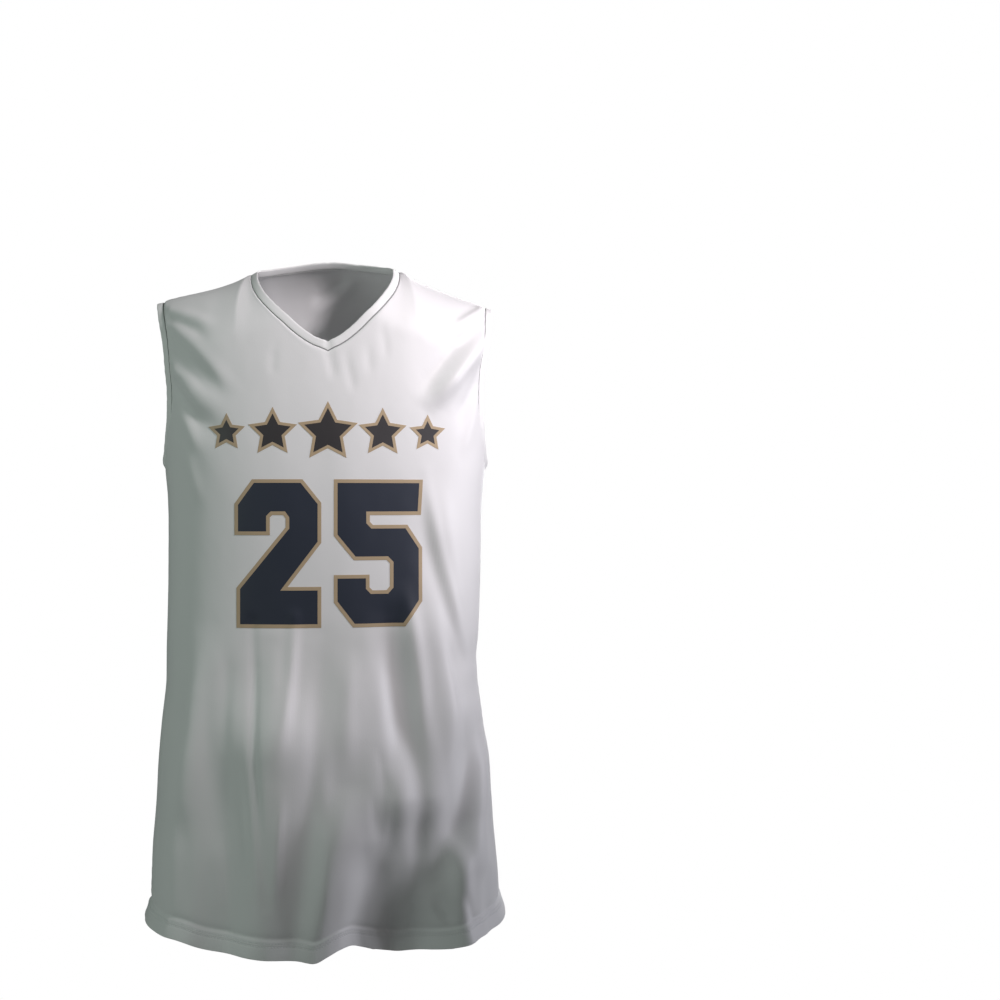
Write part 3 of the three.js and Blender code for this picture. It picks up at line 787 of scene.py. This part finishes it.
def binding_piece(name, points, outs, ways, width, seed, stretch=1, dip=0):
    """A closed folded strip along an edge. It may be stretched in width and thinned in places."""
    count, sides = len(points), len(BINDING_SECTION)
    up = unit(outs - ways * np.sum(outs * ways, axis=1, keepdims=True))
    run = np.concatenate([[0], np.cumsum(steps_of(points))[:-1]])
    ripple = BINDING_RIPPLE * wavy(run, run, 0 * run, (*BINDING_WAVE, seed))
    ripple += BINDING_WAVER * soft_noise(run, 0 * run, *WAVER_CELLS, seed + 1)
    base = points - outs * CLOTH_WALL / 2
    vertices = np.empty((count, sides, 3))
    uv = np.empty((count, sides, 2))
    for k, (across, share) in enumerate(BINDING_SECTION):
        off = (BINDING_GAP + across * (width + ripple * across)) * stretch
        swell = 2 * ripple * across * (1 - across)
        rise = share * BINDING_WALL / 2 * (1 - dip) + swell
        side = outs if across == 0 else up
        vertices[:, k] = base + ways * off[:, None] + side * rise[:, None]
        uv[:, k] = np.stack([np.full(count, across * width + k * SECTION_UV_STEP), run], axis=1)
    index = np.arange(count * sides).reshape(count, sides)
    after = np.roll(index, -1, axis=0)
    faces = quads(index, np.roll(index, -1, axis=1), np.roll(after, -1, axis=1), after)
    vertices = vertices.reshape(-1, 3)
    a, b, c, d = (vertices[faces[:, i]] for i in range(4))
    volume = np.sum(a * np.cross(b, c)) + np.sum(a * np.cross(c, d))
    return add_mesh(name, vertices, faces[:, ::-1] if volume < 0 else faces, uv.reshape(-1, 2))


def neck_piece():
    points, outs = neck_edge()
    x, z = points[:, 0], points[:, 2]
    ways = strip_ways(points, outs, points * (0, 0, 1) + NECK_AIM)
    in_front = np.arange(len(x)) <= 2 * NECK_CELLS
    mitre = in_front * (1 - smooth(np.abs(x), 0, MITRE_REACH))
    lean = NECK_LEAN * smooth(z, *NECK_LEAN_GROWS)
    leaning = unit(ways + lean[:, None] * UP)
    upright = unit(UP - outs * outs[:, 2:3])
    ways = unit(lerp(leaning, upright, mitre[:, None]))
    stretch = 1 + MITRE_STRETCH * mitre
    dip = MITRE_DIP * in_front * bump_at(x, 0, MITRE_DIP_HALF)
    return binding_piece("neck_band", points, outs, ways, NECK_BINDING_WIDTH, NECK_SEED, stretch, dip)


def armhole_piece(name, column, sign):
    points, outs = armhole_edge(column)
    towards = (sign * ARMHOLE_AIM, 0, (ARMPIT_Z + TIP_Z) / 2)
    ways = strip_ways(points, outs, towards)
    ways = unit(ways + (sign * ARMHOLE_SPREAD, 0, 0))
    return binding_piece(name, points, outs, ways, ARM_BINDING_WIDTH, ARMHOLE_SEED + sign)


neck_band = neck_piece()
armhole_band_left = armhole_piece("armhole_band_left", 0, -1)
armhole_band_right = armhole_piece("armhole_band_right", -1, 1)

# -------- stitches

STITCH_LONG = 2.6
STITCH_PITCH = 3.1
STITCH_HALF = 0.28
STITCH_SIDES = 5
STITCH_RUN_END = 0.996
STITCH_RUN_POINTS = 1200

# Stations along a stitch: place, share of its thickness, lift off the cloth
STITCH_STATIONS = (
    (0, 0.2, -0.12), (0.22, 0.95, 0.16), (0.5, 1, 0.24), (0.78, 0.95, 0.16), (1, 0.2, -0.12),
)


def stitch_piece(name, starts, ends, outs):
    """Short rounded threads between pairs of points, lying on the cloth."""
    side = unit(np.cross(outs, unit(ends - starts)))
    vertices = np.empty((len(starts), len(STITCH_STATIONS), STITCH_SIDES, 3))
    for i, (along, size, lift) in enumerate(STITCH_STATIONS):
        middle = starts + (ends - starts) * along + outs * lift
        for k in range(STITCH_SIDES):
            turn = 2 * math.pi * k / STITCH_SIDES
            offset = side * math.cos(turn) + outs * math.sin(turn)
            vertices[:, i, k] = middle + offset * size * STITCH_HALF
    index = np.arange(vertices.size // 3).reshape(vertices.shape[:3])
    low, high = index[:, :-1], index[:, 1:]
    walls = quads(low, np.roll(low, -1, axis=2), np.roll(high, -1, axis=2), high)
    faces = [*walls, *index[:, 0, ::-1], *index[:, -1]]
    return add_mesh(name, vertices.reshape(-1, 3), faces)


def spaced(points, outs):
    """Start and end points of stitches along a run of points, and their normals."""
    run = np.concatenate([[0], np.cumsum(np.linalg.norm(np.diff(points, axis=0), axis=1))])
    starts = np.arange(STITCH_PITCH, run[-1] - STITCH_PITCH, STITCH_PITCH)

    def at(values, places):
        return np.stack([np.interp(places, run, values[:, i]) for i in range(3)], axis=1)

    middles = starts + STITCH_LONG / 2
    return at(points, starts), at(points, starts + STITCH_LONG), unit(at(outs, middles))


def hem_stitches():
    u = np.linspace(-STITCH_RUN_END, STITCH_RUN_END, STITCH_RUN_POINTS)
    runs = [spaced(*cloth_points(panel, u, row)) for panel in (FRONT, BACK) for row in STITCH_ROWS]
    starts, ends, outs = (np.concatenate(part) for part in zip(*runs))
    return stitch_piece("hem_stitches", starts, ends, outs)


hem_thread = hem_stitches()

# -------- prints

PRINT_LIFT = 0.28
PRINT_BURIED = -0.2
PRINT_CELL = 2.6
PRINT_CLEAR = 0.55
SLIVER = 0.05
MERGE_WITHIN = 1e-5
RAY_START = 400
OUTLINE_WIDTH = 3.7
STAR_OUTLINE_WIDTH = 2.96
BACK_OUTLINE_WIDTH = 4.255

# Block digits 152 mm high, as outlines from the top left corner, in millimetres across and down
DIGIT_TWO = (
    (18, 0), (69, 0), (88, 24), (88, 65), (54, 110), (88, 110), (88, 152), (2, 152), (2, 111),
    (52, 49), (52, 40), (49.5, 36.5), (38.5, 36.5), (36, 39), (36, 57), (0, 57), (0, 25),
)
DIGIT_FIVE = (
    (0, 0), (92, 0), (90, 36.7), (36.7, 36.7), (36.7, 43.5), (39.8, 46.8), (75.6, 46.8), (91.4, 70.5),
    (91.4, 126.4), (73.6, 152), (19.5, 152), (0, 126.4), (0, 98), (36.4, 98), (36.4, 111),
    (39.4, 114.2), (54, 114.2), (57.5, 110.3), (57.5, 86.6), (54, 83), (20.3, 83), (0, 57.9),
)
DIGIT_GAP = 12.8
DIGIT_TWO_WIDE = 88
NUMBER_WIDE = 192.5
NUMBER_SHIFT = 1.5
FRONT_NUMBER_TOP = -231.8
BACK_NUMBER_TOP = -164
BACK_NUMBER_SCALE = 1.26

# Five-pointed stars in a row: place across, outer radius
STARS = ((-103, 20), (-56, 26), (0, 32), (56, 26), (103, 20))
STAR_WAIST = 0.5
FRONT_STARS_MIDDLE = -184
BACK_STARS_MIDDLE = -115
BACK_STARS_SCALE = 1.06


def cross_2d(a, b):
    return a[:, 0] * b[:, 1] - a[:, 1] * b[:, 0]


def inset(outline, by):
    """A closed outline moved inwards, with sharp corners."""
    points = np.array(outline, float)
    before, after = np.roll(points, 1, axis=0), np.roll(points, -1, axis=0)
    turn = 1 if np.sum(cross_2d(points, after)) > 0 else -1
    lanes = unit(points - before), unit(after - points)
    first, second = (turn * np.stack([-lane[:, 1], lane[:, 0]], axis=1) for lane in lanes)
    share = 1 + np.sum(first * second, axis=1, keepdims=True)
    return points + (first + second) / share * by


def subdivided(outline, cell):
    """The outline with extra points, no further apart than a cell."""
    points = []
    for a, b in zip(outline, np.roll(outline, -1, axis=0)):
        steps = max(1, int(np.ceil(np.linalg.norm(b - a) / cell)))
        points += [a + (b - a) * i / steps for i in range(steps)]
    return np.array(points)


def inside(outline, spots):
    """Whether each spot is inside a closed outline."""
    result = np.zeros(len(spots), bool)
    for a, b in zip(outline, np.roll(outline, -1, axis=0)):
        crosses = (a[1] > spots[:, 1]) != (b[1] > spots[:, 1])
        slope = (b[0] - a[0]) / (b[1] - a[1]) if a[1] != b[1] else 0
        result ^= crosses & (spots[:, 0] < a[0] + (spots[:, 1] - a[1]) * slope)
    return result


def triangles_of(outer, inner):
    """Triangles of a shape and which of them are in its middle, inside the inner outline."""
    rings = [subdivided(outer, PRINT_CELL), subdivided(inner, PRINT_CELL)]
    low, high = rings[0].min(axis=0), rings[0].max(axis=0)
    xs = np.arange(low[0] + PRINT_CELL / 2, high[0], PRINT_CELL)
    ys = np.arange(low[1] + PRINT_CELL / 2, high[1], PRINT_CELL)
    spots = np.stack(np.meshgrid(xs, ys), axis=-1).reshape(-1, 2)
    far = np.ones(len(spots), bool)
    for ring in rings:
        for point in ring:
            far &= np.hypot(*(spots - point).T) > PRINT_CLEAR * PRINT_CELL
    spots = spots[far & inside(outer, spots)]
    points = np.concatenate(rings + [spots])
    edges, start = [], 0
    for ring in rings:
        edges += [(start + i, start + (i + 1) % len(ring)) for i in range(len(ring))]
        start += len(ring)
    made = delaunay_2d_cdt([Vector(p) for p in points], edges, [], 0, MERGE_WITHIN)
    vertices = np.array([tuple(v) for v in made[0]])
    faces = np.array([f for f in made[2] if len(f) == 3])
    middle = vertices[faces].mean(axis=1)
    a, b, c = (vertices[faces[:, i]] for i in range(3))
    kept = inside(outer, middle) & (np.abs(cross_2d(b - a, c - a)) > SLIVER)
    return vertices, faces[kept], inside(inner, middle[kept])


def surface_tree(grid):
    return BVHTree.FromPolygons(grid.points.reshape(-1, 3).tolist(), grid_faces(grid.index).tolist())


TREES = {"front": surface_tree(front_grid), "back": surface_tree(back_grid)}


def laid(panel, spots):
    """Top and buried points of a print on the cloth, at spots in front view."""
    sign = panel.sign
    top, low = [], []
    for x, z in spots:
        start = Vector((x, sign * RAY_START, z))
        hit, out, _, _ = TREES[panel.depth].ray_cast(start, Vector((0, -sign, 0)))
        out = -out if out.y * sign < 0 else out
        top.append(hit + out * PRINT_LIFT)
        low.append(hit + out * PRINT_BURIED)
    return top + low


def print_piece(name, panel, shapes):
    """A thin printed layer on the cloth, from a list of (vertices, triangles) in front view."""
    vertices, faces = [], []
    for spots, triangles in shapes:
        used, places = np.unique(triangles, return_inverse=True)
        triangles = places.reshape(-1, 3)
        a, b, c = (spots[used][triangles[:, i]] for i in range(3))
        wrong = cross_2d(b - a, c - a) * -panel.sign < 0
        triangles[wrong] = triangles[wrong][:, ::-1]
        known = {tuple(t[pair]) for t in triangles for pair in ([0, 1], [1, 2], [2, 0])}
        rim = [side for side in known if side[::-1] not in known]
        start = len(vertices)
        under = start + len(used)
        faces += [[start + i for i in t] for t in triangles]
        faces += [[under + i for i in t[::-1]] for t in triangles]
        faces += [[start + b, start + a, under + a, under + b] for a, b in rim]
        vertices += laid(panel, spots[used])
    points = np.array([tuple(v) for v in vertices])
    obj = add_mesh(name, points, faces, points[:, [0, 2]])
    crisp = {tuple(sorted(pair)) for face in faces if len(face) == 4 for pair in (face[:2], face[2:])}
    for edge in obj.data.edges:
        edge.use_edge_sharp = tuple(sorted(edge.vertices)) in crisp
    return obj


def star(radius):
    """A five-pointed star, one point up."""
    corners = np.arange(10)
    turns = corners * math.pi / 5
    sizes = np.where(corners % 2 == 0, radius, radius * STAR_WAIST)
    return np.stack([sizes * np.sin(turns), -sizes * np.cos(turns)], axis=1)


def placed(outline, scale, across, high):
    """An outline in millimetres across and down, put on the jersey in front view."""
    points = np.array(outline, float) * scale
    return np.stack([across + points[:, 0], high - points[:, 1]], axis=1)


def print_pair(name, panel, outlines, width):
    """The coloured middle and the outline of some shapes, as two pieces."""
    middles, borders = [], []
    for outline in outlines:
        if panel is BACK:
            outline = outline * (-1, 1)
        vertices, faces, in_middle = triangles_of(outline, inset(outline, width))
        middles.append((vertices, faces[in_middle]))
        borders.append((vertices, faces[~in_middle]))
    return print_piece(name + "_fill", panel, middles), print_piece(name + "_border", panel, borders)


def number(scale, top):
    left = NUMBER_SHIFT - NUMBER_WIDE * scale / 2
    second = left + (DIGIT_TWO_WIDE + DIGIT_GAP) * scale
    return [placed(DIGIT_TWO, scale, left, top), placed(DIGIT_FIVE, scale, second, top)]


def stars(scale, middle):
    return [placed(star(radius), scale, across * scale, middle) for across, radius in STARS]


front_number = print_pair("front_number", FRONT, number(1, FRONT_NUMBER_TOP), OUTLINE_WIDTH)
front_stars = print_pair("front_stars", FRONT, stars(1, FRONT_STARS_MIDDLE), STAR_OUTLINE_WIDTH)
back_digits = number(BACK_NUMBER_SCALE, BACK_NUMBER_TOP)
back_number = print_pair("back_number", BACK, back_digits, BACK_OUTLINE_WIDTH)
back_row = stars(BACK_STARS_SCALE, BACK_STARS_MIDDLE)
back_stars = print_pair("back_stars", BACK, back_row, STAR_OUTLINE_WIDTH)

# -------- materials

PATCH_SCALE = 9
PATCH_DETAIL = 3
GLOSS_SCALE = 40
GLOSS_SPREAD = (-0.05, 0.06)
WALE = 0.0009
COURSE = 0.0007
COURSES_IN_GRAIN = 3
KNIT_DEEP = 0.00012
SHEEN_ROUGH = 0.35
CLOTH_SPECULAR = 0.4
TWIST_SCALE = 900
THREAD_ROUGH = 0.5

# Painted shade beside a binding, standing in for the shadow in the ditch its needle line pulls: from and
# to, in millimetres across it, and its tone
SEAM_SHADE_BAND = (0.5, 1.3)
SEAM_SHADE_TONE = 0.3


def node_setup(name):
    material = bpy.data.materials.new(name)
    material.use_nodes = True
    nodes, links = material.node_tree.nodes, material.node_tree.links
    return material, nodes, links, nodes["Principled BSDF"]


def put(node, **values):
    """Sets inputs of a node by their names."""
    for name, value in values.items():
        node.inputs[name.replace("_", " ")].default_value = value
    return node


def noise(nodes, links, place, scale, detail=2):
    """A noise texture at a place, as a value between 0 and 1."""
    texture = put(nodes.new("ShaderNodeTexNoise"), Scale=scale, Detail=detail)
    links.new(place, texture.inputs["Vector"])
    return texture.outputs[0]


def two_tone(nodes, links, surface, share, first, second):
    """Mixes two colours into a surface's colour."""
    tone = nodes.new("ShaderNodeMix")
    tone.data_type = "RGBA"
    tone.inputs[6].default_value = (*first, 1)
    tone.inputs[7].default_value = (*second, 1)
    links.new(share, tone.inputs[0])
    links.new(tone.outputs[2], surface.inputs["Base Color"])


def cloth_uv(nodes):
    uv = nodes.new("ShaderNodeUVMap")
    uv.uv_map = "cloth"
    return uv.outputs[0]


def mapped(nodes, links, value, **limits):
    """A value mapped from one range to another."""
    node = put(nodes.new("ShaderNodeMapRange"), **limits)
    links.new(value, node.inputs["Value"])
    return node.outputs[0]


def cloth_material(name, colour, shade, rough, sheen, knit):
    """Knit polyester: two near colours in soft patches, uneven gloss, a fine knit bump."""
    material, nodes, links, surface = node_setup(name)
    place = nodes.new("ShaderNodeTexCoord").outputs["Object"]
    patches = noise(nodes, links, place, PATCH_SCALE, PATCH_DETAIL)
    two_tone(nodes, links, surface, patches, colour, shade)
    low, high = (rough + spread for spread in GLOSS_SPREAD)
    gloss = mapped(nodes, links, noise(nodes, links, place, GLOSS_SCALE), To_Min=low, To_Max=high)
    links.new(gloss, surface.inputs["Roughness"])
    # grains of the knit, a wale wide and a few courses long
    knitted = nodes.new("ShaderNodeVectorMath")
    knitted.operation = "MULTIPLY"
    knitted.inputs[1].default_value = (1 / WALE, 1 / (COURSES_IN_GRAIN * COURSE), 1)
    links.new(cloth_uv(nodes), knitted.inputs[0])
    bump = put(nodes.new("ShaderNodeBump"), Strength=knit, Distance=KNIT_DEEP)
    links.new(noise(nodes, links, knitted.outputs[0], 1), bump.inputs["Height"])
    links.new(bump.outputs[0], surface.inputs["Normal"])
    put(surface, Sheen_Weight=sheen, Sheen_Roughness=SHEEN_ROUGH, Specular_IOR_Level=CLOTH_SPECULAR)
    return material


def thread_material():
    material, nodes, links, surface = node_setup("white_thread")
    place = nodes.new("ShaderNodeTexCoord").outputs["Object"]
    twist = noise(nodes, links, place, TWIST_SCALE)
    two_tone(nodes, links, surface, twist, (0.86, 0.87, 0.88), (0.76, 0.77, 0.79))
    put(surface, Roughness=THREAD_ROUGH)
    return material


def paint_shade_in_seams(material):
    """Paints shade on a binding's inner edge, where the seam's needle line pulls it into a ditch that
    shades itself.
    """
    nodes, links = material.node_tree.nodes, material.node_tree.links
    colour = nodes["Principled BSDF"].inputs["Base Color"]
    plain = colour.links[0].from_socket
    across = nodes.new("ShaderNodeSeparateXYZ")
    links.new(cloth_uv(nodes), across.inputs[0])
    low, high = (edge * MM for edge in SEAM_SHADE_BAND)
    # painted shade: the binding's colour is darker near its seam edge, for the shadow in the seam's
    # ditch
    painted_seam_shade = mapped(nodes, links, across.outputs["X"], From_Min=low, From_Max=high, To_Min=SEAM_SHADE_TONE)
    shaded = nodes.new("ShaderNodeVectorMath")
    shaded.operation = "SCALE"
    links.new(plain, shaded.inputs[0])
    links.new(painted_seam_shade, shaded.inputs["Scale"])
    links.new(shaded.outputs[0], colour)


WHITE = cloth_material("white_knit", (0.83, 0.825, 0.83), (0.8, 0.8, 0.805), 0.5, 0.1, 0.6)
BINDING = cloth_material("white_binding", (0.86, 0.86, 0.86), (0.83, 0.83, 0.83), 0.52, 0.12, 0.8)
NAVY = cloth_material("navy_print", (0.026, 0.033, 0.052), (0.034, 0.041, 0.06), 0.52, 0.05, 0.5)
CHARCOAL = cloth_material("charcoal_print", (0.038, 0.035, 0.038), (0.05, 0.045, 0.047), 0.52, 0.05, 0.5)
TAN = cloth_material("tan_print", (0.5, 0.38, 0.25), (0.46, 0.35, 0.225), 0.52, 0.05, 0.5)
THREAD = thread_material()
# painted shade along the seam edges of all three bindings
paint_shade_in_seams(BINDING)

# -------- floor and light

KEY_CONE = math.radians(42)
KEY_RADIUS = 0.12
FLOOR_Z = -1.3
FLOOR_RADIUS = 40
FLOOR_TONE = 0.35
FLOOR_ROUGH = 0.9
WORLD_LIT = 0.02
CHEST = (0, 0, -0.3)


def by_ray(nodes, links, lit, seen, output):
    """Lights the scene with one shader and shows another to the camera."""
    which = nodes.new("ShaderNodeLightPath")
    mix = nodes.new("ShaderNodeMixShader")
    links.new(which.outputs["Is Camera Ray"], mix.inputs[0])
    links.new(lit.outputs[0], mix.inputs[1])
    links.new(seen.outputs[0], mix.inputs[2])
    links.new(mix.outputs[0], output.inputs[0])


def floor():
    bpy.ops.mesh.primitive_circle_add(
        vertices=96, radius=FLOOR_RADIUS, fill_type="NGON", location=(0, 0, FLOOR_Z)
    )
    obj = bpy.context.object
    obj.name = "floor"
    material, nodes, links, surface = node_setup("pale_floor")
    put(surface, Base_Color=(FLOOR_TONE, FLOOR_TONE, FLOOR_TONE, 1), Roughness=FLOOR_ROUGH)
    glow = put(nodes.new("ShaderNodeEmission"), Color=(1, 1, 1, 1))
    by_ray(nodes, links, surface, glow, nodes["Material Output"])
    obj.data.materials.append(material)


def add_light(name, kind, place, aim, power, colour):
    data = bpy.data.lights.new(name, kind)
    data.energy = power
    data.color = colour
    light = bpy.data.objects.new(name, data)
    light.location = place
    light.rotation_euler = (Vector(aim) - Vector(place)).to_track_quat("-Z", "Y").to_euler()
    scene.collection.objects.link(light)
    return data


def area_light(name, place, aim, size, power, colour):
    data = add_light(name, "AREA", place, aim, power, colour)
    data.shape = "DISK"
    data.size = size


def studio():
    world = bpy.data.worlds.new("studio")
    world.use_nodes = True
    nodes, links = world.node_tree.nodes, world.node_tree.links
    shown = put(nodes["Background"], Color=(1, 1, 1, 1), Strength=1)
    lit = put(nodes.new("ShaderNodeBackground"), Color=(0.86, 1, 0.89, 1), Strength=WORLD_LIT)
    by_ray(nodes, links, lit, shown, nodes["World Output"])
    scene.world = world
    key = add_light("key", "SPOT", (0.84, -0.86, 0.53), (0.07, -0.1, -0.06), 69, (1, 0.94, 0.97))
    key.shadow_soft_size = KEY_RADIUS
    key.spot_size = KEY_CONE
    key.spot_blend = 1
    area_light("side", (1.8, -0.2, -0.2), (0, -0.1, -0.4), 0.6, 12, (0.92, 0.92, 1))
    area_light("fill", (-1.9, -1.1, 0.3), CHEST, 1.6, 14, (0.86, 1, 0.92))
    area_light("back", (0.8, 2.3, 0.4), CHEST, 1.4, 42, (1, 1, 1))
    scene.view_settings.view_transform = "Standard"


floor()
studio()

# -------- what each piece stands for


for piece, node, slot, material in (
    (front_cloth, "front_panel", "cloth", WHITE),
    (back_cloth, "back_panel", "cloth", WHITE),
    (neck_band, "neck_binding", "binding", BINDING),
    (armhole_band_left, "armhole_binding_left", "binding", BINDING),
    (armhole_band_right, "armhole_binding_right", "binding", BINDING),
):
    piece.data.materials.append(material)
    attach(piece, "root")
    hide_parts(node)

small_pieces = [(hem_thread, THREAD)]
for (middle, border), colour in (
    (front_number, NAVY),
    (front_stars, CHARCOAL),
    (back_number, NAVY),
    (back_stars, CHARCOAL),
):
    small_pieces += [(middle, colour), (border, TAN)]

for piece, material in small_pieces:
    piece.data.materials.append(material)
    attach(piece, "root")
